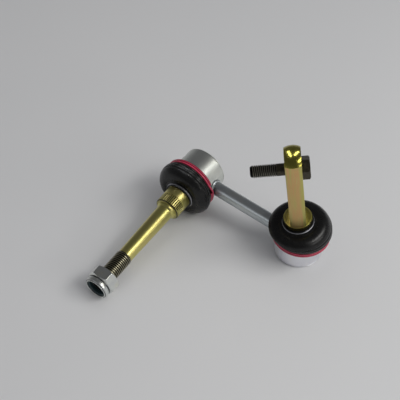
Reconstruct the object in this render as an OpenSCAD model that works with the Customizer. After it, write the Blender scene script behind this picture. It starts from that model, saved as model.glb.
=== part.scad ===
/* [Link] */
// Distance between the two ball centres
centre_distance = 90.8; // [75:0.2:140]
// Diameter of the connecting rod
rod_d = 10.2; // [8:0.1:12]
// Leg of the weld bead around each rod end
weld_leg = 2.2; // [1:0.1:3]

/* [Ball joints] */
// Diameter of each ball
ball_d = 17; // [16:0.1:19]
// Wall of the plastic seat around the ball
seat_wall = 4.2; // [3:0.1:5]
// Plastic below the ball
seat_floor = 0.8; // [0.6:0.1:2]
// Height of the seat above the ball centre
seat_top = 4.4; // [4:0.1:5]
// Steel wall of a housing cup
housing_wall = 4.15; // [3.6:0.05:5]
// Steel of the closed end
base_thick = 2.8; // [2:0.1:5]
// Chamfer around the closed end
base_chamfer = 0.9; // [0.4:0.1:1.4]
// Thickness of the retaining washer over the seat
retainer_thick = 2; // [1.2:0.1:3]
// How far the rolled lip reaches in over the washer
lip_reach = 1.2; // [0.8:0.1:1.6]
// Thickness of the rolled lip, up to the mouth
lip_thick = 4.4; // [4.2:0.1:5]
// Largest swing of a stud from its housing axis, in degrees
swing_limit = 22; // [15:1:23]

/* [Boots] */
// Wire diameter of the red clamp rings
clamp_wire = 1.9; // [1.4:0.1:2.2]
// Width of the bead that the clamp ring holds
bead_w = 4.4; // [4:0.1:4.8]
// Depth of the groove that the bead sits in
groove_depth = 1.4; // [0.8:0.1:2]
// Rubber under the clamp ring
bead_thick = 3.15; // [2.6:0.05:3.6]
// Largest diameter of a boot
bulge_d = 43.6; // [43:0.2:48]
// Radius of the boot's rounded flank
bulge_r = 7; // [6:0.1:7.6]
// Wall of a boot
boot_wall = 2.1; // [1.4:0.1:2.6]
// Ball centre to the wire ring at the boot's neck
neck_level = 21.5; // [21:0.1:24]
// Wire diameter of a neck ring
neck_wire = 1; // [0.7:0.1:1.2]
// Rubber under the neck ring
lip_rubber = 0.6; // [0.5:0.05:0.9]

/* [Threaded stud] */
// Neck diameter between ball and collar
stud_neck_d = 10; // [8:0.1:10.6]
// Diameter that the boot lip grips
lip_d = 18.8; // [17:0.1:20]
// Diameter of the collar
collar_d = 19.1; // [19:0.1:22]
// Length of the collar's smooth band past the boot lip
collar_plain = 6; // [4:0.5:12]
// Length of the collar's splined band
collar_knurl = 7.2; // [4:0.2:14]
// Number of splines around the collar
spline_count = 40; // [28:1:52]
// Depth of a spline
spline_depth = 0.45; // [0.2:0.05:0.8]
// Diameter of the shank next to the collar
shank_d = 12.7; // [12.2:0.1:14]
// Length of the tapering shank
shank_len = 46; // [30:0.5:70]
// Nominal diameter of the stud thread
thread_d = 12; // [10:0.5:12]
// Length of the stud thread
thread_len = 28; // [26:0.5:40]
// Advance of the nut in one turn
thread_pitch = 1.5; // [1:0.25:1.75]

/* [Lock nut] */
// Width across the flats of the nut
nut_af = 19; // [18:0.5:22]
// Height of the hexagon
nut_hex_h = 8.6; // [7:0.1:11]
// Height of the round collar that holds the insert
nut_collar_h = 4.6; // [3.6:0.1:6]
// Height of the nylon insert
insert_h = 2.8; // [2:0.1:3]
// Distance from the stud's tip to the nut's inner face
nut_grip = 9.2; // [6:0.1:11]

/* [Eye stud] */
// Diameter of the eye stud's collar
eye_collar_d = 19.6; // [19.2:0.1:22]
// Height of that collar past the boot lip
eye_collar_h = 3.2; // [2:0.1:6]
// Thickness of the flat blade
blade_t = 10.8; // [8:0.1:13]
// Width of the blade
blade_w = 19.2; // [16:0.1:19.2]
// Ball centre to the cross hole
eye_level = 79.8; // [60:0.2:110]
// Cross hole to the top of the domed tip
dome_rise = 17.1; // [15:0.1:24]
// Radius of the dome turned on the tip
dome_r = 11.6; // [10:0.1:20]
// Diameter of the cross hole
eye_hole_d = 8.5; // [8.4:0.1:10]

/* [Cross bolt] */
// Diameter of the bolt
bolt_d = 8; // [6:0.5:8]
// Length under the head
bolt_len = 33; // [25:0.5:50]
// Length of the bolt's threaded end
bolt_thread_len = 17; // [8:0.5:20]
// Diameter over the bolt's thread
bolt_thread_d = 7.9; // [5.8:0.1:8]
// Width across the flats of the head
bolt_af = 13; // [12:0.5:16]
// Height of the head
bolt_head_h = 5.2; // [4:0.1:7]

/* [Pose on the table] */
// Rise of the rod toward the threaded stud's joint, in degrees
rest_rise = 5.7; // [0:0.1:12]
// Roll of the link about its rod, in degrees
rest_roll = 4.6; // [0:0.1:10]
// Swing of the threaded stud in its housing, in degrees
stud_swing = 2.4; // [0:0.1:12]
// Heading of that swing around the housing, in degrees
stud_heading = 315; // [0:1:360]
// Swing of the eye stud in its housing, in degrees
eye_swing = 9.8; // [0:0.1:14]
// Heading of that swing around the housing, in degrees
eye_heading = 224; // [0:1:360]
// Turn of the blade about its own axis, in degrees
eye_turn = 36.3; // [0:0.1:180]

/* [Clearances] */
// Radial play of a ball in its seat
ball_gap = 0.08; // [0.05:0.01:0.1]
// Play between pressed inner pieces
press_gap = 0.03; // [0.02:0.01:0.1]
// Play between rubber and steel
rubber_gap = 0.1; // [0.06:0.01:0.2]
// Radial play of the nut on the thread
thread_gap = 0.06; // [0.03:0.01:0.1]

/* [Hidden] */
$fn = 96;
// A small overrun for cuts
cut = 0.5;

ball_r = ball_d / 2;
seat_r = ball_r + seat_wall;
bore_r = seat_r + press_gap;
housing_r = bore_r + housing_wall;
seat_base = ball_r + ball_gap + seat_floor;
bore_base = seat_base + press_gap;
housing_depth = bore_base + base_thick;
retainer_z = seat_top + press_gap;
lip_z = retainer_z + retainer_thick + press_gap;
mouth_z = lip_z + lip_thick;
lip_r = bore_r - lip_reach;

// Bead and groove at the mouth
shoulder_t = 0.8;
groove_play = 0.15;
groove_top = mouth_z - shoulder_t;
groove_base = groove_top - bead_w - 2 * groove_play;
groove_r = housing_r - groove_depth;
bead_base = groove_base + groove_play;
bead_top = groove_top - groove_play;
bead_in = groove_r + rubber_gap;
bead_out = bead_in + bead_thick;
clamp_mid = (bead_base + bead_top) / 2;
clamp_pitch = clamp_wire - 0.1;
clamp_ring_r = bead_out + rubber_gap + clamp_wire / 2;

// Flank of the boot
bulge_z = neck_level - bulge_r - 0.45;
bulge_mid = bulge_d / 2 - bulge_r;
neck_ring_r = lip_d / 2 + rubber_gap + lip_rubber + neck_wire / 2 + 0.05;
lip_base = neck_level - 2.4;
lip_end = neck_level + 1.5;

// Stations along the studs
stud_neck_r = stud_neck_d / 2;
flare_z = neck_level - 8.4;
lip_seat_z = neck_level - 3.8;
collar_z = lip_end + 0.4;
knurl_z = collar_z + collar_plain;
knurl_end = knurl_z + collar_knurl;
collar_front = knurl_end + 0.8;
step_z = collar_front + 1.3;
shank_z = step_z + 1.2;
shank_end = shank_z + shank_len;
thread_z = shank_end + 0.6;
tip_z = thread_z + thread_len;
shank_end_r = thread_d / 2 - 0.55;
spline_root = collar_d / 2 - spline_depth - 0.25;
nut_z = tip_z - nut_grip;
nut_h = nut_hex_h + nut_collar_h;
nut_bore_r = thread_d / 2 + thread_gap;
nut_collar_r = nut_af / 2 - 0.5;
insert_z = nut_hex_h + 1;
insert_r = nut_collar_r - 1;
eye_top = collar_z + eye_collar_h;
dome_z = eye_level + dome_rise - dome_r;
// The chamfer of the eye stud's collar ends outside the blade
eye_chamfer = max(0.05, min(0.5, (eye_collar_d - blade_w) / 2 - 0.05));

base_rim_r = housing_r - base_chamfer;

// The weld stays this far below the boot's bead
weld_room = 0.3;
weld_top = bead_base - weld_room;
weld_clear_r = clamp_ring_r + clamp_wire / 2 + weld_room;
bolt_plain = bolt_len - bolt_thread_len;

// Link frame: the rod along X and the eye joint's ball centre at the origin.
// The part's origin is the centre of the eye housing's closed end, which the link leans on.
module stand() {
  rotate([0, rest_rise, 0])
    rotate([rest_roll, 0, 0])
      translate([0, 0, housing_depth])
        children();
}

// Joint frames: the ball centre at the origin, the housing axis along Z
module at_eye() {
  stand() children();
}

module at_stud() {
  stand() translate([-centre_distance, 0, 0]) rotate([90, 0, 0]) children();
}

module swung(angle, heading) {
  rotate([0, 0, heading]) rotate([0, angle, 0]) rotate([0, 0, -heading]) children();
}

module on_stud() {
  at_stud() swung(stud_swing, stud_heading) children();
}

module on_eye() {
  at_eye() swung(eye_swing, eye_heading) children();
}

// Point p turned about the ball centre by a share of the swing
function turn_z(p, a) = [p[0] * cos(a) - p[1] * sin(a), p[0] * sin(a) + p[1] * cos(a), p[2]];
function turn_y(p, a) = [p[0] * cos(a) + p[2] * sin(a), p[1], p[2] * cos(a) - p[0] * sin(a)];
function lean(p, angle, heading) = turn_z(turn_y(turn_z(p, -heading), angle), heading);
function ease(t) = t <= 0 ? 0 : t >= 1 ? 1 : t * t * (3 - 2 * t);
function follow(z) = ease((z - bead_top) / (lip_base - bead_top));
function flank(r, a) = [bulge_mid + r * cos(a), bulge_z + r * sin(a)];

// Section of a boot as [radius, height], outside from the bead to the lip, then back inside
boot_section = concat(
  [[bead_out - 0.4, bead_base], [bead_out, bead_base + 0.4], [bead_out, clamp_mid + clamp_wire + 0.05]],
  [[bead_out + 1.3, clamp_mid + clamp_wire + 0.2], [bead_out + 1.75, clamp_mid + clamp_wire + 0.7],
    [bead_out + 1.5, clamp_mid + clamp_wire + 1.1]],
  [for (a = [-18 : 14 : 108]) flank(bulge_r, a)],
  [[neck_ring_r + 0.5, neck_level - 0.8], [neck_ring_r - neck_wire / 2 - 0.05, neck_level - 0.6],
    [neck_ring_r - neck_wire / 2 - 0.05, neck_level + 0.6], [neck_ring_r + 0.2, neck_level + 0.85],
    [neck_ring_r + 0.1, lip_end - 0.15], [lip_d / 2 + rubber_gap + 0.2, lip_end],
    [lip_d / 2 + rubber_gap, lip_end - 0.3], [lip_d / 2 + rubber_gap, lip_base],
    [lip_d / 2 + rubber_gap + 1.2, lip_base - 0.6]],
  [for (a = [84 : -17 : -18]) flank(bulge_r - boot_wall, a)],
  [[housing_r + 0.35, bead_top + 0.75], [housing_r + 0.05, bead_top + 0.1], [bead_in, bead_top],
    [bead_in, bead_base]]);

module boot(angle, heading) {
  n = 56;
  m = len(boot_section);
  points = [for (k = [0 : n - 1]) for (q = boot_section)
    lean([q[0] * cos(360 * k / n), q[0] * sin(360 * k / n), q[1]], angle * follow(q[1]), heading)];
  faces = [for (k = [0 : n - 1]) for (j = [0 : m - 1]) for (half = [0, 1])
    let (a = k * m + j, b = k * m + (j + 1) % m, c = (k + 1) % n * m + (j + 1) % m, d = (k + 1) % n * m + j)
    half == 0 ? [a, b, c] : [a, c, d]];
  polyhedron(points, faces, convexity = 8);
}

// Cup with a closed end, a rolled lip and an outer groove for the boot
module housing() {
  rotate_extrude()
    polygon([[0, -housing_depth], [base_rim_r, -housing_depth], [housing_r, -housing_depth + base_chamfer],
      [housing_r, groove_base], [groove_r, groove_base], [groove_r, groove_top],
      [housing_r - 0.3, groove_top], [housing_r - 0.3, mouth_z - 0.3], [housing_r - 0.6, mouth_z],
      [lip_r + 0.6, mouth_z], [lip_r, mouth_z - 0.6], [lip_r, lip_z], [bore_r, lip_z],
      [bore_r, -bore_base], [0, -bore_base]]);
}

// Plastic shell with a spherical bed and a flared opening
module ball_seat() {
  opening = seat_top * tan(swing_limit) + stud_neck_r / cos(swing_limit) + 0.25;
  difference() {
    translate([0, 0, -seat_base]) cylinder(r = seat_r, h = seat_base + seat_top);
    sphere(r = ball_r + ball_gap);
    translate([0, 0, seat_top - 1.5])
      cylinder(r1 = opening - 1.5 * tan(swing_limit), r2 = opening + cut * tan(swing_limit), h = 1.5 + cut);
  }
}

// Steel washer under the rolled lip
module retainer() {
  opening = lip_z * tan(swing_limit) + stud_neck_r / cos(swing_limit) + 0.5;
  translate([0, 0, retainer_z])
    difference() {
      cylinder(r = bore_r - press_gap, h = retainer_thick);
      translate([0, 0, -cut]) cylinder(r = opening, h = retainer_thick + 2 * cut);
    }
}

// Two turns of round wire lying side by side
module clamp_ring() {
  rotate_extrude()
    for (s = [-0.5, 0.5])
      translate([clamp_ring_r, clamp_mid + s * clamp_pitch]) circle(d = clamp_wire, $fn = 32);
}

module neck_ring() {
  rotate_extrude() translate([neck_ring_r, neck_level]) circle(d = neck_wire, $fn = 32);
}

// Ball, waisted neck and the seat of the boot lip, shared by both studs
module ball_end(top) {
  sphere(r = ball_r);
  rotate_extrude()
    polygon([[0, 0], [stud_neck_r, 0], [stud_neck_r, flare_z], [stud_neck_r + 0.5, flare_z + 0.9],
      [lip_d / 2 - 0.6, lip_seat_z - 0.5], [lip_d / 2, lip_seat_z + 0.2], [lip_d / 2, top], [0, top]]);
}

// Band of straight splines, as a toothed outline pulled along the axis
module splined_band() {
  r = collar_d / 2 - 0.08;
  translate([0, 0, -cut])
    linear_extrude(height = collar_knurl + cut)
      polygon([for (k = [0 : spline_count - 1]) for (c = [[0, -spline_depth], [0.28, 0], [0.72, 0]])
        let (a = 360 * (k + c[0]) / spline_count) (r + c[1]) * [cos(a), sin(a)]]);
}

module hexagon(af, h) {
  cylinder(r = af / sqrt(3), h = h, $fn = 6);
}

// Hexagon with corners turned to a crown, about 30 degrees steep, at the ends that are asked for
module turned_hexagon(af, h, low, high) {
  land = af / 2 - 0.25;
  drop = sqrt(af * af - land * land);
  intersection() {
    hexagon(af, h);
    translate([0, 0, low ? drop : h / 2]) sphere(r = low ? af : 2 * af);
    translate([0, 0, high ? h - drop : h / 2]) sphere(r = high ? af : 2 * af);
  }
}

// What a joint's boot and clamp ring need free of weld
module boot_room() {
  translate([0, 0, weld_top]) cylinder(r = weld_clear_r, h = mouth_z - weld_top);
}

module link_rod() {
  color("lightslategray")
    stand()
      difference() {
        translate([-centre_distance, 0, 0]) rotate([0, 90, 0])
          rotate_extrude()
            polygon([[0, 0], [rod_d / 2 + weld_leg, 0], [rod_d / 2 + weld_leg, housing_r - 0.6],
              [rod_d / 2 + 0.5 * weld_leg, housing_r + 0.5 * weld_leg], [rod_d / 2, housing_r + 1.2 * weld_leg],
              [rod_d / 2, centre_distance - housing_r - 1.2 * weld_leg],
              [rod_d / 2 + 0.5 * weld_leg, centre_distance - housing_r - 0.5 * weld_leg],
              [rod_d / 2 + weld_leg, centre_distance - housing_r + 0.6],
              [rod_d / 2 + weld_leg, centre_distance], [0, centre_distance]]);
        translate([0, 0, -housing_depth]) cylinder(r = housing_r, h = 2 * housing_depth);
        boot_room();
        translate([-centre_distance, 0, 0]) rotate([90, 0, 0]) {
          translate([0, 0, -housing_depth]) cylinder(r = housing_r, h = 2 * housing_depth);
          boot_room();
        }
      }
}

module stud_housing() {
  color("silver") at_stud() housing();
}

module stud_ball_seat() {
  color("ivory") at_stud() ball_seat();
}

module stud_retainer() {
  color("gray") at_stud() retainer();
}

module stud_clamp_ring() {
  color("crimson") at_stud() clamp_ring();
}

module stud_boot() {
  color("black") at_stud() boot(stud_swing, stud_heading);
}

module stud_neck_ring() {
  color("gainsboro") on_stud() neck_ring();
}

module ball_stud() {
  color("darkkhaki")
    on_stud() {
      ball_end(collar_z - 0.2);
      translate([0, 0, knurl_z]) splined_band();
      rotate_extrude()
        polygon([[0, collar_z - 1], [lip_d / 2 - 0.6, collar_z - 1], [collar_d / 2, collar_z - 0.2],
          [collar_d / 2, knurl_z], [spline_root, knurl_z], [spline_root, knurl_end],
          [spline_root - 0.6, collar_front], [shank_d / 2 + 1.3, collar_front],
          [shank_d / 2 + 1.1, step_z], [shank_d / 2, shank_z], [shank_end_r, shank_end],
          [shank_end_r, thread_z - 0.4], [thread_d / 2, thread_z], [thread_d / 2, tip_z - 1.1],
          [thread_d / 2 - 1.1, tip_z], [0, tip_z]]);
    }
}

module lock_nut() {
  color("lightgray")
    on_stud() translate([0, 0, nut_z])
      difference() {
        union() {
          turned_hexagon(nut_af, nut_hex_h, true, true);
          rotate_extrude()
            polygon([[0, nut_hex_h - 1], [nut_collar_r, nut_hex_h - 1], [nut_collar_r, nut_h - 2],
              [nut_collar_r - 0.5, nut_h - 0.7], [nut_collar_r - 1.4, nut_h], [0, nut_h]]);
        }
        translate([0, 0, -cut]) cylinder(r = nut_bore_r, h = nut_h + 2 * cut);
        translate([0, 0, -cut]) cylinder(r1 = nut_bore_r + 0.8 + cut, r2 = nut_bore_r, h = 0.8 + cut);
        translate([0, 0, insert_z]) cylinder(r = insert_r, h = insert_h);
        translate([0, 0, insert_z]) cylinder(r = insert_r - 0.7, h = nut_h);
      }
}

module nut_insert() {
  color("teal")
    on_stud() translate([0, 0, nut_z + insert_z + press_gap])
      difference() {
        cylinder(r = insert_r - press_gap, h = insert_h - 2 * press_gap);
        translate([0, 0, -cut]) cylinder(r = nut_bore_r, h = insert_h + 2 * cut);
      }
}

module eye_housing() {
  color("silver") at_eye() housing();
}

module eye_ball_seat() {
  color("ivory") at_eye() ball_seat();
}

module eye_retainer() {
  color("gray") at_eye() retainer();
}

module eye_clamp_ring() {
  color("crimson") at_eye() clamp_ring();
}

module eye_boot() {
  color("black") at_eye() boot(eye_swing, eye_heading);
}

module eye_neck_ring() {
  color("gainsboro") on_eye() neck_ring();
}

module eye_stud() {
  color("goldenrod")
    on_eye() {
      ball_end(collar_z);
      rotate_extrude()
        polygon([[0, collar_z], [eye_collar_d / 2, collar_z], [eye_collar_d / 2, eye_top - eye_chamfer],
          [eye_collar_d / 2 - eye_chamfer, eye_top], [0, eye_top]]);
      rotate([0, 0, eye_turn])
        difference() {
          intersection() {
            translate([-blade_t / 2, -blade_w, eye_top - cut])
              cube([blade_t, 2 * blade_w, dome_z + 2 * dome_r - eye_top]);
            cylinder(d = blade_w, h = dome_z + 2 * dome_r);
            union() {
              cylinder(r = dome_r, h = dome_z);
              translate([0, 0, dome_z]) sphere(r = dome_r);
            }
          }
          translate([-blade_t, 0, eye_level]) rotate([0, 90, 0]) cylinder(d = eye_hole_d, h = 2 * blade_t);
        }
    }
}

module cross_bolt() {
  color("dimgray")
    on_eye() rotate([0, 0, eye_turn])
      translate([blade_t / 2 + 0.02, 0, eye_level]) rotate([0, -90, 0]) {
        rotate_extrude()
          polygon([[0, -1], [bolt_d / 2, -1], [bolt_d / 2, bolt_plain - 1], [bolt_thread_d / 2 - 0.6, bolt_plain - 0.6],
            [bolt_thread_d / 2 - 0.6, bolt_plain - 0.4], [bolt_thread_d / 2, bolt_plain],
            [bolt_thread_d / 2, bolt_len - 1], [bolt_thread_d / 2 - 1, bolt_len], [0, bolt_len]]);
        translate([0, 0, -bolt_head_h]) turned_hexagon(bolt_af, bolt_head_h, true, false);
      }
}

link_rod();
stud_housing();
stud_ball_seat();
stud_retainer();
stud_clamp_ring();
stud_boot();
stud_neck_ring();
ball_stud();
lock_nut();
nut_insert();
eye_housing();
eye_ball_seat();
eye_retainer();
eye_clamp_ring();
eye_boot();
eye_neck_ring();
eye_stud();
cross_bolt();
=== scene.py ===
"""Stabilizer link: finished pieces, materials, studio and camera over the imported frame."""
from math import acos, atan2, cos, floor, pi, radians, sin, sqrt, tan

import bmesh
import bpy
from mathutils import Matrix, Vector, noise


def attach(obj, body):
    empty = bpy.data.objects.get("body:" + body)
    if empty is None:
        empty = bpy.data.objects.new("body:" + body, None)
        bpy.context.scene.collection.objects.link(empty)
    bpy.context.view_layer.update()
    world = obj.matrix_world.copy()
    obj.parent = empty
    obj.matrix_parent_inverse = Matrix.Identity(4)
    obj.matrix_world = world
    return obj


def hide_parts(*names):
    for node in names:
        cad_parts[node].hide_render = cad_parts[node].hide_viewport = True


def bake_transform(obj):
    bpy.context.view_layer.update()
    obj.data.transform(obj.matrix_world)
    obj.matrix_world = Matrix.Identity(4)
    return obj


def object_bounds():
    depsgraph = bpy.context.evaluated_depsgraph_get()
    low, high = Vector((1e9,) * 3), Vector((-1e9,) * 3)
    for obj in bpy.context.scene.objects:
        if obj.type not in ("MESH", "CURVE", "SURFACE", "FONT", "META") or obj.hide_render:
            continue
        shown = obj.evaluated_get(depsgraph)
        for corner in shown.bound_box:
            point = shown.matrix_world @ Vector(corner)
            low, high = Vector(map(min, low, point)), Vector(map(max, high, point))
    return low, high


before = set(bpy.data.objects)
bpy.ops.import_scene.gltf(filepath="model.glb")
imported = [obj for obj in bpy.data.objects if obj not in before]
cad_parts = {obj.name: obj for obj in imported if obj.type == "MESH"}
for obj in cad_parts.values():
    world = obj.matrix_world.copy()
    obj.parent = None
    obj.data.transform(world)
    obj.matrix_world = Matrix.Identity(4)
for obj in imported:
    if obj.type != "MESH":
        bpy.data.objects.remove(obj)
cad_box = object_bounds()
scene = bpy.context.scene
MM = 0.001

# Sizes in millimetres, taken from the solids; the bolt's head and thread are a little fuller here.
# Levels along a joint are measured from the centre of its ball
CENTRES = 90.8
ROD_R = 5.1
CUP = dict(r=16.88, depth=12.21, mouth=10.86, bore=12.73, floor=-9.41, throat=11.53, ledge=6.46)
GROOVE = dict(low=5.36, high=10.06, r=15.48)
BEAD = dict(low=5.51, high=9.91, inner=15.58, outer=18.73)
CLAMP = dict(ring=19.78, wire=0.95, low=6.81, high=8.61)
BULGE = dict(ring=14.8, level=14.05, r=7.0, wall=2.1)
NECK = dict(ring=10.65, level=21.5, wire=0.5)
LIP = dict(r=9.5, low=19.1, high=23.0, flare=1.2)
BALL = dict(r=8.5, neck=5.0, shoulder=9.4, shoulder_end=22.3)
STUD = dict(collar=9.55, knurl=29.4, knurl_end=36.6, splines=40, front=37.4, face=8.3,
            step=38.7, step_r=7.45, shank=39.9, shank_r=6.35, shank_end=85.9, shank_end_r=5.45,
            pitch=1.5, crest=5.99, root=5.1, tip=114.5, tip_r=5.25)
NUT = dict(z=105.3, af=19.0, hex=8.6, height=13.2, neck=8.3, collar=9.0, rim=8.0, mouth=7.3,
           bore=6.06, bore_end=7.0, insert=7.97, pocket_low=9.6, pocket_high=12.4)
BLADE = dict(top=26.6, half=5.4, round=9.6, eye=79.8, dome=85.3, dome_r=11.6, hole=4.25, collar=9.8)
TIP_EDGE = BLADE["dome"] + sqrt(BLADE["dome_r"] ** 2 - BLADE["round"] ** 2)
BOLT = dict(length=33.0, plain=16.0, af=13.4, head=5.2, seat=5.6, shank=4.0,
            pitch=1.25, crest=4.12, root=3.4, tip_r=3.75)
SEAT_GAP = 0.02

# How the link leans on the floor and how the studs stand in their cups, in degrees
LEAN_Y, LEAN_X = 5.7, 4.6
STUD_SWING = (2.4, 315)
EYE_SWING = (9.8, 224)
BLADE_TURN = 36.3


def turn(axis, degrees):
    return Matrix.Rotation(radians(degrees), 4, axis)


def shift(x, y, z):
    return Matrix.Translation(Vector((x, y, z)) * MM)


def swung(angle, heading):
    return turn("Z", heading) @ turn("Y", angle) @ turn("Z", -heading)


AT_EYE = turn("Y", LEAN_Y) @ turn("X", LEAN_X) @ shift(0, 0, CUP["depth"])
AT_STUD = AT_EYE @ shift(-CENTRES, 0, 0) @ turn("X", 90)
ON_STUD = AT_STUD @ swung(*STUD_SWING)
ON_NUT = ON_STUD @ shift(0, 0, NUT["z"])
ON_EYE = AT_EYE @ swung(*EYE_SWING)
ON_BLADE = ON_EYE @ turn("Z", BLADE_TURN)
ON_BOLT = ON_BLADE @ shift(BLADE["half"] + SEAT_GAP, 0, BLADE["eye"]) @ turn("Y", -90)


# Mesh building

class Shape:
    """Points in millimetres and faces, gathered before they become one mesh."""

    def __init__(self):
        self.points = []
        self.faces = []

    def grid(self, rows, wrap=True):
        start, n = len(self.points), len(rows[0])
        for row in rows:
            self.points.extend(row)
        for i in range(len(rows) - 1):
            for j in range(n if wrap else n - 1):
                a, b = start + i * n + j, start + i * n + (j + 1) % n
                self.faces.append((a, b, b + n, a + n))
        return self

    def revolve(self, outline, columns=160, radius=None):
        """Turns (r, z) points about Z; radius(r, z, angle) can shape each ring."""
        rows = []
        for r, z in outline:
            row = []
            for j in range(columns):
                a = 2 * pi * j / columns
                q = radius(r, z, a) if radius else r
                row.append((q * cos(a), q * sin(a), z))
            rows.append(row)
        return self.grid(rows)

    def moved(self, place):
        """The same shape with its points taken into another frame."""
        other = Shape()
        other.points = [(place @ (Vector(p) * MM)) / MM for p in self.points]
        other.faces = list(self.faces)
        return other


def rounded(corners, steps=5):
    """An outline of (r, z) or (r, z, radius) corners, with an arc at each corner that has a radius.

    An arc takes up less than half of the shorter side, and a point just outside each of its ends keeps the
    shading of the straight sides flat.
    """
    share, margin = 0.46, 0.04
    made = [Vector(corners[0][:2])]
    for before, here, after in zip(corners, corners[1:], corners[2:]):
        p = Vector(here[:2])
        if len(here) < 3:
            made.append(p)
            continue
        u, w = Vector(before[:2]) - p, Vector(after[:2]) - p
        room = share * min(u.length, w.length)
        u.normalize()
        w.normalize()
        half = acos(max(-1, min(1, u.dot(w)))) / 2
        reach = min(here[2] / tan(half), room)
        outside = min(reach + margin, room * 1.05)
        centre = p + (u + w).normalized() * reach / cos(half)
        a, b = p + u * reach - centre, p + w * reach - centre
        made.append(p + u * outside)
        sweep = pi - 2 * half
        for k in range(steps + 1):
            t = k / steps
            made.append(centre + (a * sin((1 - t) * sweep) + b * sin(t * sweep)) / sin(sweep))
        made.append(p + w * outside)
    made.append(Vector(corners[-1][:2]))
    return [(q.x, q.y) for q in made]


def ease(t):
    t = max(0.0, min(1.0, t))
    return t * t * (3 - 2 * t)


def lean(point, swing, share):
    """A point turned about the ball centre by a share of a swing."""
    return swung(swing[0] * share, swing[1]) @ Vector(point)


def wire(ring_r, wire_r, level, start, sweep, steps, sides=24):
    """Round wire wound about Z at level(share of the sweep), with blunt rounded ends."""
    end_sizes, end_step = (1, 0.97, 0.75, 0), 0.004
    rows = []
    for k in range(1 - len(end_sizes), steps + len(end_sizes)):
        t = max(0, min(steps, k)) / steps
        past = max(0, -k, k - steps)
        size = wire_r * end_sizes[past]
        a = radians(start + sweep * t) + end_step * (past if k > steps else -past)
        row = []
        for j in range(sides):
            b = 2 * pi * j / sides
            r = ring_r + size * cos(b)
            row.append((r * cos(a), r * sin(a), level(t) + size * sin(b)))
        rows.append(row)
    return Shape().grid(rows)


def thread(shape, low, high, pitch, crest, root, low_r, high_r, columns=96, steps=12):
    """A helical ridge between two levels; its rows follow the helix, so the crests stay clean."""
    form = [max(0.0, min(1.0, 1.9 - 4.4 * abs(k / steps - 0.5))) for k in range(steps)]
    run_in, run_out = 1.1 * pitch, 0.7 * pitch
    rows = []
    for k in range(-steps, int((high - low) / pitch * steps) + 2):
        row = []
        for j in range(columns + 1):
            z = low + pitch * (k / steps + j / columns)
            r = root + (crest - root) * form[k % steps]
            r = low_r + (r - low_r) * ease((z - low) / run_in)
            r = high_r + (r - high_r) * ease((high - z) / run_out)
            a = 2 * pi * j / columns
            row.append((r * cos(a), r * sin(a), max(low, min(high, z))))
        rows.append(row)
    return shape.grid(rows, wrap=False)


def hexagon_reach(af, angle, corner):
    """Distance from the axis to a hexagon with slightly rounded corners."""
    off = (angle / (pi / 3) - floor(angle / (pi / 3))) * pi / 3 - pi / 6
    d = pi / 6 - abs(off)
    centre = (af / 2 - corner) / cos(pi / 6)
    if d < atan2(corner * sin(pi / 6), centre + corner * cos(pi / 6)):
        return centre * cos(d) + sqrt(max(0, corner ** 2 - (centre * sin(d)) ** 2))
    return af / 2 / cos(off)


def chamfer(af, land, r):
    """How far the end face of a hexagon has dropped at a radius outside its flat land."""
    return sqrt(af ** 2 - land ** 2) - sqrt(af ** 2 - r ** 2) if r > land else 0.0


def build(name, shape, place, material, sharp):
    mesh = bpy.data.meshes.new(name)
    mesh.from_pydata([Vector(p) * MM for p in shape.points], [], shape.faces)
    bm = bmesh.new()
    bm.from_mesh(mesh)
    bmesh.ops.remove_doubles(bm, verts=bm.verts, dist=2e-7)
    bmesh.ops.dissolve_degenerate(bm, edges=bm.edges, dist=1e-8)
    bmesh.ops.recalc_face_normals(bm, faces=bm.faces)
    bm.to_mesh(mesh)
    bm.free()
    mesh.polygons.foreach_set("use_smooth", [True] * len(mesh.polygons))
    mesh.set_sharp_from_angle(angle=radians(sharp))
    mesh.materials.append(material)
    obj = bpy.data.objects.new(name, mesh)
    scene.collection.objects.link(obj)
    obj.matrix_world = place
    return obj


def piece(name, shape, place, body, material, nodes, sharp=40):
    """A rigid piece that rides on a body and stands for the nodes named."""
    obj = build(name, shape, place, material, sharp)
    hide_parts(*nodes)
    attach(obj, body)
    return obj


# Materials

def node(tree, kind, inputs=None, **settings):
    made = tree.nodes.new(kind)
    for key, value in settings.items():
        setattr(made, key, value)
    for key, value in (inputs or {}).items():
        if isinstance(value, bpy.types.NodeSocket):
            tree.links.new(value, made.inputs[key])
        else:
            made.inputs[key].default_value = value
    return made


def grain(tree, scale, detail=3.0, stretch=(1, 1, 1), rough=0.55):
    """Noise in the piece's own frame; scale is in features per metre."""
    where = node(tree, "ShaderNodeTexCoord").outputs["Object"]
    where = node(tree, "ShaderNodeMapping", {"Vector": where, "Scale": stretch}).outputs["Vector"]
    return node(tree, "ShaderNodeTexNoise",
                {"Vector": where, "Scale": scale, "Detail": detail, "Roughness": rough}).outputs["Fac"]


def ramp(tree, value, stops):
    made = node(tree, "ShaderNodeValToRGB", {"Fac": value})
    points = made.color_ramp.elements
    while len(points) < len(stops):
        points.new(0.5)
    for point, (at, colour) in zip(points, stops):
        point.position = at
        point.color = (*colour, 1)
    return made.outputs["Color"]


def spread(tree, value, low, high):
    """Takes the usual span of the noise to a range of values."""
    return node(tree, "ShaderNodeMapRange", {"Value": value, "From Min": 0.3, "From Max": 0.7,
                                             "To Min": low, "To Max": high}).outputs["Result"]


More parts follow.
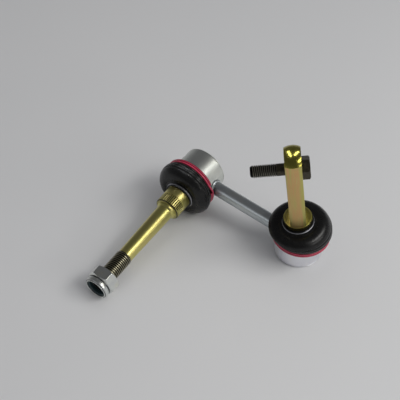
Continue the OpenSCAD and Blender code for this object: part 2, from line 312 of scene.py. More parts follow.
def station(tree, axis):
    """Place along one axis of the piece's own frame, in millimetres; R is the distance from its Z axis."""
    per_mm = 1 / MM
    scale = (per_mm, per_mm, 0 if axis == "R" else per_mm)
    where = node(tree, "ShaderNodeTexCoord").outputs["Object"]
    where = node(tree, "ShaderNodeVectorMath", {0: where, 1: scale}, operation="MULTIPLY").outputs["Vector"]
    if axis == "R":
        return node(tree, "ShaderNodeVectorMath", {0: where}, operation="LENGTH").outputs["Value"]
    return node(tree, "ShaderNodeSeparateXYZ", {"Vector": where}).outputs[axis]


def rise(tree, value, low, high):
    """Goes smoothly from 0 at low to 1 at high; low may be the larger of the two."""
    first, last = (0.0, 1.0) if low < high else (1.0, 0.0)
    return node(tree, "ShaderNodeMapRange",
                {"Value": value, "From Min": min(low, high), "From Max": max(low, high),
                 "To Min": first, "To Max": last},
                interpolation_type="SMOOTHSTEP").outputs["Result"]


def times(tree, *values):
    made = values[0]
    for value in values[1:]:
        made = node(tree, "ShaderNodeMath", {0: made, 1: value}, operation="MULTIPLY").outputs["Value"]
    return made


def tint(tree, share, under, over):
    """One colour laid over another by a share; each is a socket or a plain colour."""
    made = node(tree, "ShaderNodeMix", {0: share}, data_type="RGBA")
    for key, value in ((6, under), (7, over)):
        if isinstance(value, bpy.types.NodeSocket):
            tree.links.new(value, made.inputs[key])
        else:
            made.inputs[key].default_value = (*value, 1)
    return made.outputs[2]


def surface(name, metallic, colour, rough, bumps, **sockets):
    """A principled material: colour(tree) and rough(tree) give sockets, bumps lists (height, depth)."""
    made = bpy.data.materials.new(name)
    made.use_nodes = True
    tree = made.node_tree
    shader = tree.nodes["Principled BSDF"]
    shader.inputs["Metallic"].default_value = metallic
    for key, value in sockets.items():
        shader.inputs[key.replace("_", " ")].default_value = value
    tree.links.new(colour(tree), shader.inputs["Base Color"])
    tree.links.new(rough(tree), shader.inputs["Roughness"])
    normal = None
    for height, depth in bumps:
        inputs = {"Height": height(tree), "Distance": depth * MM, "Strength": 1.0}
        if normal:
            inputs["Normal"] = normal
        normal = node(tree, "ShaderNodeBump", inputs).outputs["Normal"]
    if normal:
        tree.links.new(normal, shader.inputs["Normal"])
    return made


def cup_zinc(name, dark, middle, light):
    """Turned and clear passivated zinc; the three colours drift into each other."""
    return surface(
        name, 1.0,
        lambda t: ramp(t, grain(t, 130, 4, (1, 1, 0.3)), [(0.3, dark), (0.52, middle), (0.75, light)]),
        lambda t: spread(t, grain(t, 240, 3, (1, 1, 0.4)), 0.40, 0.44),
        [(lambda t: grain(t, 40, 2, (1, 1, 40)), 0.0012)])


STUD_ZINC = cup_zinc("stud_cup_zinc", (0.71, 0.735, 0.70), (0.78, 0.80, 0.755), (0.79, 0.80, 0.72))
EYE_ZINC = cup_zinc("eye_cup_zinc", (0.80, 0.80, 0.86), (0.86, 0.86, 0.90), (0.88, 0.86, 0.84))


def nut_grey(tree):
    """Bright zinc, with painted shade in the neck behind the collar and in the crease of its rolled rim."""
    r, z = station(tree, "R"), station(tree, "Z")
    face, end, collar = NUT["hex"], NUT["height"], NUT["collar"]
    # Painted shade: the neck behind the collar is darkened.
    neck = times(tree, rise(tree, z, face - 0.15, face), rise(tree, z, face + 1.0, face + 0.7),
                 rise(tree, r, collar, collar - 0.4))
    # Painted shade in the crease under the rolled rim.
    crease = times(tree, rise(tree, z, end - 0.8, end - 0.65), rise(tree, z, end - 0.25, end - 0.4))
    made = ramp(tree, grain(tree, 170, 4),
                [(0.3, (0.68, 0.70, 0.69)), (0.52, (0.75, 0.77, 0.74)), (0.75, (0.76, 0.76, 0.68))])
    made = tint(tree, neck, made, (0.24, 0.24, 0.25))
    return tint(tree, crease, made, (0.16, 0.16, 0.165))


NUT_ZINC = surface(
    "nut_zinc", 1.0, nut_grey,
    lambda t: spread(t, grain(t, 120, 2), 0.295, 0.32),
    [(lambda t: grain(t, 60, 2, (1, 1, 12)), 0.0005)])

ROD_ZINC = surface(
    "rod_zinc", 1.0,
    lambda t: ramp(t, grain(t, 160, 4, (0.3, 1, 1)),
                   [(0.3, (0.52, 0.56, 0.58)), (0.55, (0.61, 0.65, 0.66)), (0.75, (0.63, 0.64, 0.61))]),
    lambda t: spread(t, grain(t, 500, 3, (0.2, 1, 1)), 0.39, 0.44),
    [(lambda t: grain(t, 700, 2, (0.05, 1, 1)), 0.0015)])


def yellow(tree):
    """Yellow passivated zinc that drifts between green and orange."""
    return ramp(tree, grain(tree, 150, 4, (1, 1, 0.25)),
                [(0.3, (0.58, 0.54, 0.15)), (0.48, (0.65, 0.595, 0.19)),
                 (0.62, (0.67, 0.575, 0.20)), (0.8, (0.61, 0.585, 0.19))])


def stud_yellow(tree):
    """Yellow plating, greyer and darker along the thread, with painted shade between the splines and in the
    thread's roots.
    """
    r, z = station(tree, "R"), station(tree, "Z")
    s = STUD
    # Painted shade in the grooves between the splines.
    splines = times(tree, rise(tree, z, s["knurl"] - 0.1, s["knurl"] + 0.2),
                    rise(tree, z, s["front"] + 0.1, s["front"] - 0.2),
                    rise(tree, r, s["collar"] - 0.09, s["collar"] - 0.27))
    turns = rise(tree, z, s["shank_end"], s["shank_end"] + 0.6)
    # Painted shade in the thread's roots.
    roots = times(tree, turns, rise(tree, r, s["crest"] - 0.13, s["root"] + 0.4))
    made = tint(tree, splines, yellow(tree), (0.03, 0.027, 0.008))
    made = tint(tree, turns, made, (0.24, 0.22, 0.145))
    return tint(tree, roots, made, (0.038, 0.036, 0.031))


STUD_GOLD = surface(
    "yellow_zinc_stud", 1.0, stud_yellow,
    lambda t: spread(t, grain(t, 300, 3, (1, 1, 0.4)), 0.33, 0.37),
    [(lambda t: grain(t, 40, 2, (1, 1, 40)), 0.001)],
    Coat_Weight=0.6, Coat_Roughness=0.24)


def foot_yellow(tree):
    """Painted shade: darker over the collar's top face and dark down its side, so that the turned rim
    stands out.
    """
    r, z = station(tree, "R"), station(tree, "Z")
    top, collar, shoulder = BLADE["top"], BLADE["collar"], BALL["shoulder_end"]
    # Painted shade over the collar's top face and down its side.
    face = times(tree, rise(tree, z, top - 0.3, top - 0.1), rise(tree, r, collar - 0.8, collar - 1.1))
    side = times(tree, rise(tree, z, top - 0.02, top - 0.14), rise(tree, z, shoulder + 0.2, shoulder + 0.7))
    shaded_face = ramp(tree, grain(tree, 220, 4), [(0.3, (0.33, 0.285, 0.085)), (0.7, (0.46, 0.40, 0.125))])
    dark = ramp(tree, grain(tree, 220, 4), [(0.3, (0.085, 0.075, 0.026)), (0.7, (0.13, 0.115, 0.04))])
    return tint(tree, side, tint(tree, face, yellow(tree), shaded_face), dark)


FOOT_GOLD = surface(
    "yellow_zinc_foot", 1.0, foot_yellow,
    lambda t: spread(t, grain(t, 300, 3), 0.33, 0.38),
    [(lambda t: grain(t, 40, 2, (1, 1, 40)), 0.001)])


def on_tip(tree):
    """1 over the blade's domed tip and 0 along the bar."""
    return rise(tree, station(tree, "Z"), TIP_EDGE - 0.31, TIP_EDGE - 0.01)


def blade_yellow(tree):
    """Drawn bar with warm streaks along it, yellower along one edge, and darkened to olive over the dome as
    a painted dark reflection.
    """
    edge = rise(tree, station(tree, "X"), BLADE["half"] - 2.2, BLADE["half"] - 1.2)
    streaks = ramp(tree, grain(tree, 330, 4, (1, 1, 0.07)),
                   [(0.3, (0.50, 0.45, 0.15)), (0.44, (0.57, 0.45, 0.17)),
                    (0.56, (0.63, 0.39, 0.17)), (0.7, (0.57, 0.49, 0.19))])
    made = tint(tree, edge, streaks, (0.53, 0.485, 0.145))
    # Painted reflection: the dome is darkened to olive for the dark ceiling it mirrors.
    return tint(tree, on_tip(tree), made, (0.36, 0.325, 0.066))


def blade_rough(tree):
    """Satin along the bar and smoother over the turned tip."""
    bar = spread(tree, grain(tree, 300, 3, (1, 1, 0.1)), 0.31, 0.36)
    tip = spread(tree, grain(tree, 200, 3), 0.18, 0.20)
    return node(tree, "ShaderNodeMix", {0: on_tip(tree), 2: bar, 3: tip}, data_type="FLOAT").outputs[0]


GOLD_BLADE = surface(
    "yellow_zinc_blade", 1.0, blade_yellow, blade_rough,
    [(lambda t: grain(t, 500, 2, (1, 1, 0.04)), 0.002)])

RUBBER = surface(
    "boot_rubber", 0.0,
    lambda t: ramp(t, grain(t, 260, 5),
                   [(0.35, (0.0035, 0.0035, 0.0035)), (0.6, (0.005, 0.005, 0.005)),
                    (0.8, (0.010, 0.010, 0.0095))]),
    lambda t: spread(t, grain(t, 300, 3), 0.26, 0.31),
    [(lambda t: grain(t, 90, 2), 0.012)],
    Specular_IOR_Level=0.36)


def wire_red(tree):
    """Red coat with painted shade between the turns and on the side towards the cup."""
    ring, low = CLAMP["ring"], CLAMP["low"]
    # Painted shade between the two turns and on the wire's side towards the cup.
    between = rise(tree, station(tree, "R"), ring + 0.86, ring + 0.62)
    cup_side = rise(tree, station(tree, "Z"), low + 0.14, low - 0.26)
    made = ramp(tree, grain(tree, 300, 4),
                [(0.3, (0.50, 0.028, 0.072)), (0.55, (0.58, 0.045, 0.105)), (0.8, (0.62, 0.07, 0.13))])
    made = tint(tree, between, made, (0.15, 0.005, 0.014))
    return tint(tree, cup_side, made, (0.05, 0.003, 0.007))


RED = surface(
    "red_wire", 0.0, wire_red,
    lambda t: spread(t, grain(t, 400, 3), 0.30, 0.42),
    [(lambda t: grain(t, 500, 2), 0.004)],
    Coat_Weight=0.15, Coat_Roughness=0.25)

WIRE = surface(
    "neck_wire", 1.0,
    lambda t: ramp(t, grain(t, 500, 3), [(0.3, (0.44, 0.45, 0.48)), (0.7, (0.60, 0.60, 0.64))]),
    lambda t: spread(t, grain(t, 500, 3), 0.34, 0.44),
    [(lambda t: grain(t, 900, 2), 0.002)])


def bolt_black(tree):
    """Black oxide, lighter over the thread, with painted shade near black in the thread's roots."""
    r, z = station(tree, "R"), station(tree, "Z")
    turns = rise(tree, z, BOLT["plain"] - 0.2, BOLT["plain"] + 0.4)
    # Painted shade, near black, in the thread's roots.
    roots = times(tree, turns, rise(tree, r, BOLT["crest"] - 0.06, BOLT["root"] + 0.45))
    made = ramp(tree, grain(tree, 380, 5),
                [(0.3, (0.034, 0.030, 0.021)), (0.55, (0.056, 0.050, 0.034)), (0.8, (0.10, 0.086, 0.054))])
    made = tint(tree, turns, made, (0.17, 0.16, 0.13))
    return tint(tree, roots, made, (0.001, 0.001, 0.001))


OXIDE = surface(
    "black_oxide", 0.75, bolt_black,
    lambda t: spread(t, grain(t, 500, 3), 0.27, 0.36),
    [(lambda t: grain(t, 900, 2), 0.003)])

# Blue-green nylon; the darkness of its colour is partly painted shade inside the nut's mouth.
NYLON = surface(
    "insert_nylon", 0.0,
    lambda t: ramp(t, grain(t, 300, 3), [(0.3, (0.018, 0.040, 0.046)), (0.7, (0.030, 0.056, 0.062))]),
    lambda t: spread(t, grain(t, 900, 3), 0.4, 0.55),
    [(lambda t: grain(t, 1600, 2), 0.01)])

SEAT = surface(
    "seat_plastic", 0.0,
    lambda t: ramp(t, grain(t, 300, 3), [(0.3, (0.62, 0.60, 0.52)), (0.7, (0.70, 0.68, 0.60))]),
    lambda t: spread(t, grain(t, 900, 3), 0.35, 0.5),
    [(lambda t: grain(t, 1600, 2), 0.01)])

STEEL = surface(
    "plain_steel", 1.0,
    lambda t: ramp(t, grain(t, 300, 3), [(0.3, (0.42, 0.42, 0.42)), (0.7, (0.54, 0.54, 0.55))]),
    lambda t: spread(t, grain(t, 900, 3), 0.3, 0.42),
    [(lambda t: grain(t, 900, 2), 0.002)])


# Housings and rod

def housing():
    """A turned cup with a fine line near its closed end, a groove for the boot and a rolled mouth."""
    r, base, mouth, throat = CUP["r"], -CUP["depth"], CUP["mouth"], CUP["throat"]
    low, high, groove = GROOVE["low"], GROOVE["high"], GROOVE["r"]
    return Shape().revolve(rounded([
        (0, base), (6, base), (r - 0.9, base, 0.4), (r, base + 0.9, 0.25),
        (r, base + 1.3), (r - 0.22, base + 1.5), (r - 0.22, base + 1.75), (r, base + 1.95),
        (r, low, 0.2), (groove, low), (groove, high), (r - 0.3, high, 0.1),
        (r - 0.3, mouth - 0.3), (r - 0.6, mouth), (throat + 0.6, mouth, 0.3), (throat, mouth - 0.6),
        (throat, CUP["ledge"]), (CUP["bore"], CUP["ledge"]), (CUP["bore"], CUP["floor"]),
        (0, CUP["floor"])]))


def weld(shape, origin, along, axis):
    """A fillet bead where the rod meets a housing, a little uneven, kept below the boot."""
    origin, along, axis = Vector(origin), Vector(along), Vector(axis)
    side = axis.cross(along)
    columns, steps, boot_side = 96, 8, 5.16
    mean_leg, uneven, fullness, stretch = 1.25, 0.25, 0.8, 1.15
    rows = []
    for k in range(steps + 3):
        row = []
        for j in range(columns):
            a = 2 * pi * j / columns
            lumps = noise.noise(Vector((cos(a) * 2.2, sin(a) * 2.2, origin.x + 3)))
            leg = mean_leg + uneven * lumps
            b = pi / 2 * max(0, min(steps, k - 1)) / steps
            r = ROD_R + leg * cos(b) ** fullness
            x = sqrt(CUP["r"] ** 2 - (r * sin(a)) ** 2) + leg * stretch * sin(b) ** fullness
            x -= 0.5 if k == 0 else 0
            r -= 0.15 if k == steps + 2 else 0
            q = origin + along * x + side * r * sin(a) + axis * min(r * cos(a), boot_side)
            row.append(tuple(q))
        rows.append(row)
    shape.grid(rows)


def rod():
    """The bar, let a little into both cups, with its two welds."""
    inset, parts = 0.6, 24
    start = sqrt(CUP["r"] ** 2 - ROD_R ** 2) - inset
    length = CENTRES - 2 * start
    bar = Shape().revolve([(ROD_R, start + k * length / parts) for k in range(parts + 1)], 96)
    made = Shape()
    made.points = [(-z, y, x) for x, y, z in bar.points]
    made.faces = bar.faces
    weld(made, (0, 0, 0), (-1, 0, 0), (0, 0, 1))
    weld(made, (-CENTRES, 0, 0), (1, 0, 0), (0, -1, 0))
    return made


piece("rod_with_welds", rod(), AT_EYE, "link", ROD_ZINC, ["link_rod"])
piece("stud_housing_cup", housing(), AT_STUD, "link", STUD_ZINC, ["stud_housing"])
piece("eye_housing_cup", housing(), AT_EYE, "link", EYE_ZINC, ["eye_housing"])


# Boots and their wires

def clamp(start):
    """Two turns of wire side by side; the wire steps over to its second turn half way along."""
    sweep, step_sweep = 700, 26
    low, high, step = CLAMP["low"], CLAMP["high"], step_sweep / sweep

    def level(t):
        return low + (high - low) * ease((t - 0.5 + step / 2) / step)

    return wire(CLAMP["ring"], CLAMP["wire"], level, start, sweep, 420)


def boot(swing):
    """A bellows from the bead in the cup's groove to the lip on the stud's neck, leaning with the stud."""
    r, inside = BULGE["r"], BULGE["r"] - BULGE["wall"]
    bead, out, lip = BEAD["inner"], BEAD["outer"], LIP["r"]
    ring, neck = NECK["ring"], NECK["level"]
    seat = ring - NECK["wire"] - 0.05
    fold_depth, fold_half, fold_angles = 0.38, 6, (-8, 10)

    def flank(size, a):
        return BULGE["ring"] + size * cos(radians(a)), BULGE["level"] + size * sin(radians(a))

    def folds(a):
        return fold_depth * sum(max(0.0, 1 - abs(a - at) / fold_half) for at in fold_angles)

    outline = rounded([
        (bead, BEAD["low"]), (out, BEAD["low"], 0.5), (out, 9.62, 0.15), (out + 1.75, 9.84, 0.35),
        (out + 1.75, 10.62, 0.3), (out + 0.95, 10.98, 0.3), (out + 1.15, 11.35, 0.2), flank(r, -22)])[:-1]
    outline += [flank(r - folds(a), a) for a in range(-20, 98, 2)]
    outline += rounded([
        flank(r, 98), (*flank(r - 0.06, 108), 0.5), (ring + 0.75, neck - 0.62, 0.25),
        (seat, neck - 0.5, 0.2), (seat, neck + 0.5, 0.2), (ring + 0.25, neck + 0.72, 0.2),
        (ring + 0.15, LIP["high"] - 0.05, 0.3), (lip + 0.02, LIP["high"], 0.15), (lip, LIP["low"], 0.3),
        (lip + LIP["flare"], LIP["low"] - 0.6, 0.3), flank(inside, 84)])
    outline += [flank(inside, a) for a in range(78, -19, -8)]
    outline += [(CUP["r"] + 0.35, BEAD["high"] + 0.75), (CUP["r"] + 0.05, BEAD["high"] + 0.1),
                (bead, BEAD["high"]), (bead, BEAD["low"])]
    made = Shape().revolve(outline, 144)
    span = LIP["low"] - BEAD["high"]
    made.points = [tuple(lean(p, swing, ease((p[2] - BEAD["high"]) / span))) for p in made.points]
    return made


def seal(side, place, swung_place, swing, wire_start, neck_start):
    """Red ring, boot and neck wire of one joint; the boot bends between its bead and its swung lip."""
    piece(side + "_red_ring", clamp(wire_start), place, "link", RED, [side + "_clamp_ring"])
    skin = build(side + "_boot_skin", boot(swing).moved(place), Matrix.Identity(4), RUBBER, 45)
    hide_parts(side + "_boot")
    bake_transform(skin)
    ring = wire(NECK["ring"], NECK["wire"], lambda t: NECK["level"], neck_start, 354, 240)
    piece(side + "_neck_wire", ring, swung_place, side + "_neck", WIRE,
          [side + "_neck_ring"])


seal("stud", AT_STUD, ON_STUD, STUD_SWING, 30, 200)
seal("eye", AT_EYE, ON_EYE, EYE_SWING, 60, 90)


# Threaded stud with its nut

def ball_outline():
    """The ball, its neck and the shoulder under the boot's lip, which both studs share."""
    ball, neck, shoulder, parts = BALL["r"], BALL["neck"], BALL["shoulder"], 28
    join = acos(neck / ball)
    angles = [-pi / 2 + (join + pi / 2) * k / parts for k in range(parts + 1)]
    made = [(0, -ball)] + [(ball * cos(a), ball * sin(a)) for a in angles[1:]]
    return made + rounded([
        (neck, 8), (neck, 13.1, 0.8), (neck + 0.5, 14, 0.6), (shoulder - 0.6, 17.2, 0.5),
        (shoulder, 17.9, 0.4), (shoulder, BALL["shoulder_end"])])


def spline_radius(r, z, angle):
    """Straight splines with rounded crests on the collar's front band."""
    if not STUD["knurl"] + 0.05 < z < STUD["front"] - 0.05 or r < STUD["face"]:
        return r
    middle, half_width, depth, worn = 0.14, 0.25, 0.5, 0.08
    t = angle * STUD["splines"] / (2 * pi) % 1
    groove = max(0.0, 1 - abs(t - middle) / half_width)
    return min(r, STUD["collar"] - worn - depth * ease(groove))


def ball_stud():
    s = STUD
    shoulder, level = BALL["shoulder"], BALL["shoulder_end"]
    collar, knurl, front = s["collar"], s["knurl"], s["front"]
    thread_low, thread_high = s["shank_end"] + 0.2, s["tip"] - 1.0
    outline = ball_outline() + rounded([
        (shoulder, level), (shoulder, level + 0.2, 0.1), (collar - 0.7, level + 0.45, 0.2),
        (collar, level + 0.95, 0.35), (collar, knurl - 0.25, 0.2), (collar - 0.35, knurl, 0.1),
        (collar - 0.35, knurl + 0.06)])
    outline += [(collar, knurl + 0.3), (collar, s["knurl_end"] - 0.1), (collar - 0.5, front - 0.25)]
    outline += rounded([
        (collar - 0.8, front - 0.06), (s["face"], front, 0.15), (s["step_r"] + 0.2, front, 0.15),
        (s["step_r"], s["step"], 0.5), (s["shank_r"], s["shank"], 0.9),
        (s["shank_end_r"], s["shank_end"], 0.2), (s["shank_end_r"], thread_low)])
    made = Shape().revolve(outline, 320, spline_radius)
    thread(made, thread_low, thread_high, s["pitch"], s["crest"], s["root"],
           s["shank_end_r"], s["tip_r"], 120)
    return made.revolve(rounded([(s["tip_r"], thread_high), (4.9, s["tip"], 0.2), (0, s["tip"])]), 120)


def nut():
    """A hexagon chamfered at both faces, with a bulged collar whose rim is rolled over the insert."""
    n = NUT
    columns, corner = 360, 0.5
    af, face, end, bore = n["af"], n["hex"], n["height"], n["bore"]
    land = af / 2 - 0.25
    inner = land - 0.6
    rows = []
    for k in range(13):
        row = []
        for j in range(columns):
            a = 2 * pi * (j + 0.5) / columns
            edge = hexagon_reach(af, a, corner)
            if k < 4:
                r = inner + (edge - inner) * k / 4
                z = chamfer(af, land, r)
            elif k < 9:
                r, low = edge, chamfer(af, land, edge)
                z = low + (face - 2 * low) * (0, 0.03, 0.5, 0.97, 1)[k - 4]
            else:
                r = edge + (inner - edge) * (k - 8) / 4
                z = face - chamfer(af, land, r)
            row.append((r * cos(a), r * sin(a), z))
        rows.append(row)
    made = Shape().grid(rows)
    made.revolve(rounded([
        (bore, n["bore_end"]), (bore, 0.8, 0.1), (bore + 0.8, 0, 0.15), (inner, 0)]), columns)
    waist, middle, reach = n["neck"] + 0.1, 10.9, 1.65
    swell = n["collar"] - waist
    arc = [radians(d) for d in range(-90, 91, 6)]
    bulge = [(waist + swell * cos(a), middle + reach * sin(a)) for a in arc]
    neck = rounded([(inner, face), (n["neck"], face, 0.1), (n["neck"], face + 0.4, 0.15), bulge[0]])
    pocket, low, high = n["insert"] + 0.03, n["pocket_low"], n["pocket_high"]
    rim = rounded([
        bulge[-1], (n["rim"] + 0.05, end - 0.45, 0.12), (n["rim"], end - 0.2, 0.12),
        (n["rim"] - 0.25, end, 0.2), (n["mouth"], end - 0.1, 0.2), (n["mouth"], high),
        (pocket, high), (pocket, low), (bore, low), (bore, n["bore_end"])])
    return made.revolve(neck[:-1] + bulge + rim[1:], columns)


def insert():
    bore, outer, play = NUT["bore"], NUT["insert"], 0.04
    low, high = NUT["pocket_low"] + play, NUT["pocket_high"] - play
    return Shape().revolve(rounded([
        (bore, low), (outer, low, 0.1), (outer, high, 0.2), (NUT["mouth"] - 0.1, high), (6.7, 12.3, 0.3),
        (bore, 11.9, 0.3), (bore, low)]), 160)


piece("threaded_stud", ball_stud(), ON_STUD, "stud", STUD_GOLD, ["ball_stud"], 32)
piece("lock_nut_body", nut(), ON_NUT, "nut", NUT_ZINC, ["lock_nut"], 30)
piece("nut_nylon", insert(), ON_NUT, "nut_insert", NYLON, ["nut_insert"])


# Eye stud with its bolt

def eye_collar():
    shoulder, level, collar, top = BALL["shoulder"], BALL["shoulder_end"], BLADE["collar"], BLADE["top"]
    return Shape().revolve(ball_outline() + rounded([
        (shoulder, level), (shoulder, level + 1.1, 0.15), (collar, level + 1.1, 0.2), (collar, top, 0.14),
        (0, top)]), 200)


def blade():
    """Round bar with two flats, let into the collar and turned to a dome at its tip."""
    top, half, big, ball = BLADE["top"], BLADE["half"], BLADE["round"], BLADE["dome_r"]
    columns, sharpness, straight_end, parts = 320, 80, 88, 40

    def cap(a):
        return ball * sin(radians(a)), BLADE["dome"] + ball * cos(radians(a))

    outline = [(big, top - 0.4)] + [(big, top + (straight_end - top) * k / parts) for k in range(parts + 1)]
    outline += rounded([(big, 90), (big, TIP_EDGE, 0.35), cap(53)], 6)
    outline += [cap(a) for a in range(51, 0, -2)] + [(0.0, BLADE["dome"] + ball)]
    rows = []
    for r, z in outline:
        row = []
        for j in range(columns):
            a = 2 * pi * j / columns
            x = r * cos(a)
            x /= (1 + abs(x / half) ** sharpness) ** (1 / sharpness)
            row.append((x, r * sin(a), z))
        rows.append(row)
    made = Shape().grid(rows)
    made.faces.append(tuple(range(columns))[::-1])
    return made


def drill(obj, place):
    """Cuts the cross hole, eased at both mouths, out of the blade."""
    hole, half, eased, flare = BLADE["hole"], BLADE["half"], 0.45, 3.6
    mouth = [(0, half + flare), (hole + eased + flare, half + flare), (hole + eased, half),
             (hole, half - eased)]
    tool = Shape().revolve([(r, -z) for r, z in mouth] + mouth[::-1], 96)
    cutter = build("hole_tool", tool, place, GOLD_BLADE, 30)
    cut = obj.modifiers.new("hole", "BOOLEAN")
    cut.object = cutter
    cut.operation = "DIFFERENCE"
    cut.solver = "EXACT"
    bpy.context.view_layer.update()
    done = bpy.data.meshes.new_from_object(obj.evaluated_get(bpy.context.evaluated_depsgraph_get()))
    obj.modifiers.clear()
    obj.data = done
    done.polygons.foreach_set("use_smooth", [True] * len(done.polygons))
    done.set_sharp_from_angle(angle=radians(28))
    bpy.data.objects.remove(cutter)


def bolt():
    """Plain shank, thread and a chamfered head with a shallow dish."""
    b = BOLT
    columns, corner, under = 240, 0.3, -SEAT_GAP
    af, head, shank = b["af"], -b["head"], b["shank"]
    thread_low, thread_high = b["plain"] - 0.5, b["length"] - 0.9
    made = Shape().revolve(rounded([(b["seat"], under), (shank, under, 0.35), (shank, thread_low)]), 96)
    thread(made, thread_low, thread_high, b["pitch"], b["crest"], b["root"], shank, b["tip_r"], 96)
    made.revolve(rounded([(b["tip_r"], thread_high), (3.2, b["length"], 0.2), (0, b["length"])]), 96)
    land = af / 2 - 0.25
    inner = land - 0.8
    rows = []
    for k in range(10):
        row = []
        for j in range(columns):
            a = 2 * pi * (j + 0.5) / columns
            edge = hexagon_reach(af, a, corner)
            if k == 0:
                r, z = b["seat"], under
            elif k == 1:
                r, z = edge - 0.25, under
            elif k < 5:
                r = edge
                z = -0.25 + (head + chamfer(af, land, edge) + 0.25) * (0, 0.5, 1)[k - 2]
            else:
                r = edge + (inner - edge) * (k - 4) / 5
                z = head + chamfer(af, land, r)
            row.append((r * cos(a), r * sin(a), z))
        rows.append(row)
    made.grid(rows)
    return made.revolve(rounded([
        (inner, head), (4.6, head, 0.3), (4.2, head + 0.25, 0.3), (0, head + 0.25)]), columns)


piece("eye_stud_foot", eye_collar(), ON_EYE, "eye", FOOT_GOLD, ["eye_stud"], 35)
flat = build("eye_blade", blade(), ON_BLADE, GOLD_BLADE, 28)
drill(flat, ON_BLADE @ shift(0, 0, BLADE["eye"]) @ turn("Y", 90))
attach(flat, "eye")
piece("hex_bolt", bolt(), ON_BOLT, "bolt", OXIDE, ["cross_bolt"], 30)


# Inner pieces that stay as the solids have them

for inner_piece, material in (("ball_seat", SEAT), ("retainer", STEEL)):
    for side in ("stud", "eye"):
        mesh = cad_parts[side + "_" + inner_piece].data
        mesh.materials.clear()
        mesh.materials.append(material)


# Floor

PAPER = surface(
    "paper", 0.0,
    lambda t: ramp(t, grain(t, 3, 2), [(0.3, (0.695, 0.70, 0.71)), (0.7, (0.715, 0.717, 0.725))]),
    lambda t: spread(t, grain(t, 60, 3), 0.8, 0.9),
    [(lambda t: grain(t, 900, 3), 0.01)],
    Emission_Color=(0.28, 0.28, 0.283, 1))


def pale_far_floor(tree):
    """The floor far from the object, where little light falls, shows pale to the eye and in mirrors."""
    near, far = 350, 2400
    rays = node(tree, "ShaderNodeLightPath").outputs
    shown = rays["Is Camera Ray"]
    for kind in ("Is Glossy Ray", "Is Transmission Ray"):
        shown = node(tree, "ShaderNodeMath", {0: shown, 1: rays[kind]},
                     operation="MAXIMUM").outputs["Value"]
    share = times(tree, rise(tree, station(tree, "R"), near, far), shown)
    tree.links.new(share, tree.nodes["Principled BSDF"].inputs["Emission Strength"])


pale_far_floor(PAPER.node_tree)
floor_shape = Shape().revolve([(r, 0) for r in (0, 100, 400, 1200, 4000, 12000, 40000)], 96)
build("floor", floor_shape, Matrix.Translation((-0.04, -0.03, cad_box[0].z)), PAPER, 30)


# Light, with places and sizes in metres

MIDDLE = (-0.035, -0.03, 0.03)
RIGHT = (0.74, 0.16, 0.84)
ALONG_Y = (0, 1, 0)
WARM, SOFT_WARM, SOFT_COOL = (1.0, 0.99, 0.96), (1.0, 0.995, 0.98), (0.98, 0.985, 1.0)


def lamp(name, place, size, watts, colour, along, mirrored=True):
    """A rectangular soft light that faces the object, its long side lying along a direction."""
    data = bpy.data.lights.new(name, "AREA")
    data.shape = "RECTANGLE"
    data.size, data.size_y = size
    data.energy = watts
    data.color = colour
    obj = bpy.data.objects.new(name, data)
    obj.visible_glossy = mirrored
    back = (Vector(place) - Vector(MIDDLE)).normalized()
    x = (Vector(along) - back * back.dot(Vector(along))).normalized()
    made = Matrix((x, back.cross(x), back)).transposed().to_4x4()
    made.translation = place
    obj.matrix_world = made
    scene.collection.objects.link(obj)
    return obj


def sky(name, place, spread_angle, strength, colour):
    """Even soft light from a direction, for the matt surfaces; metals don't mirror it."""
    data = bpy.data.lights.new(name, "SUN")
    data.angle = radians(spread_angle)
    data.energy = strength
    data.color = colour
    obj = bpy.data.objects.new(name, data)
    obj.visible_glossy = False
    obj.matrix_world = Vector(place).to_track_quat("Z", "Y").to_matrix().to_4x4()
    scene.collection.objects.link(obj)


def only_on(light, *names):
    """Lets a light reach only the pieces named."""
    caught = bpy.data.collections.new("lit_by_" + light.name)
    for name in names:
        caught.objects.link(bpy.data.objects[name])
    light.light_linking.receiver_collection = caught


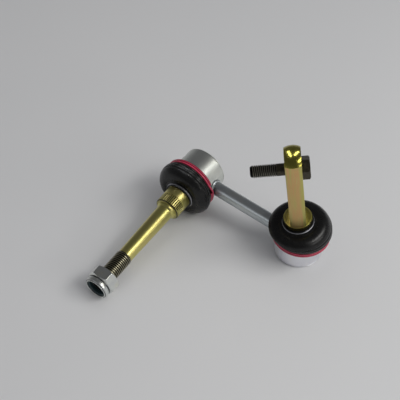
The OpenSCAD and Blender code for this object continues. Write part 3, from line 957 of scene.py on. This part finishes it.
lamp("right_box", RIGHT, (0.9, 0.22), 3.7, WARM, ALONG_Y)
lamp("low_box", (1.04, 0.0, 0.44), (0.8, 0.16), 1.6, WARM, ALONG_Y)
lamp("right_fill", RIGHT, (0.9, 0.6), 2.0, SOFT_WARM, ALONG_Y, False)
lamp("top_fill", (-0.035, -0.03, 1.6), (2.0, 2.0), 5.5, SOFT_COOL, ALONG_Y, False)
sky("right_sky", RIGHT, 38, 0.26, SOFT_WARM)
sky("top_sky", (0, 0, 1), 130, 0.27, SOFT_COOL)
only_on(lamp("right_strip", (0.033, 0.42, 1.1), (0.8, 0.16), 3.4, (1.0, 1.0, 0.99), ALONG_Y),
        "eye_blade", "stud_boot_skin")
only_on(lamp("left_strip", (-0.557, 0.01, 1.1), (1.0, 0.2), 4.6, (0.95, 0.97, 1.0), (0.79, -0.61, 0)),
        "eye_blade", "stud_boot_skin")
only_on(lamp("front_strip", (-0.33, -0.91, 0.55), (0.5, 0.12), 0.62, (0.96, 0.98, 1.0), (1, 0, 0)),
        "rod_with_welds", "lock_nut_body")
only_on(lamp("stud_strip", RIGHT, (0.9, 0.08), 3.0, (1.0, 0.99, 0.97), ALONG_Y),
        "threaded_stud", "eye_boot_skin")


def room():
    """A dim grey room, paler towards the horizon."""
    made = bpy.data.worlds.new("room")
    made.use_nodes = True
    tree = made.node_tree
    direction = node(tree, "ShaderNodeTexCoord").outputs["Generated"]
    height = node(tree, "ShaderNodeSeparateXYZ", {"Vector": direction}).outputs["Z"]
    grey = ramp(tree, height, [
        (0.0, (0.30, 0.30, 0.31)), (0.08, (0.24, 0.24, 0.247)), (0.2, (0.14, 0.14, 0.145)),
        (0.6, (0.10, 0.10, 0.105)), (1.0, (0.09, 0.09, 0.094))])
    tree.links.new(grey, tree.nodes["Background"].inputs["Color"])
    return made


def camera(lens, place, right, up):
    """A camera at a place in metres, turned so that its picture's sides lie along right and up."""
    data = bpy.data.cameras.new("camera")
    data.sensor_width = 36
    data.lens = lens
    obj = bpy.data.objects.new("camera", data)
    right, up = Vector(right), Vector(up)
    made = Matrix((right, up, right.cross(up))).transposed().to_4x4()
    made.translation = place
    obj.matrix_world = made
    scene.collection.objects.link(obj)
    return obj


scene.world = room()
scene.camera = camera(81, (0.19763, -0.38610, 0.48161), (0.80525, 0.59293, 0), (-0.42153, 0.57248, 0.70327))
scene.view_settings.view_transform = "Standard"
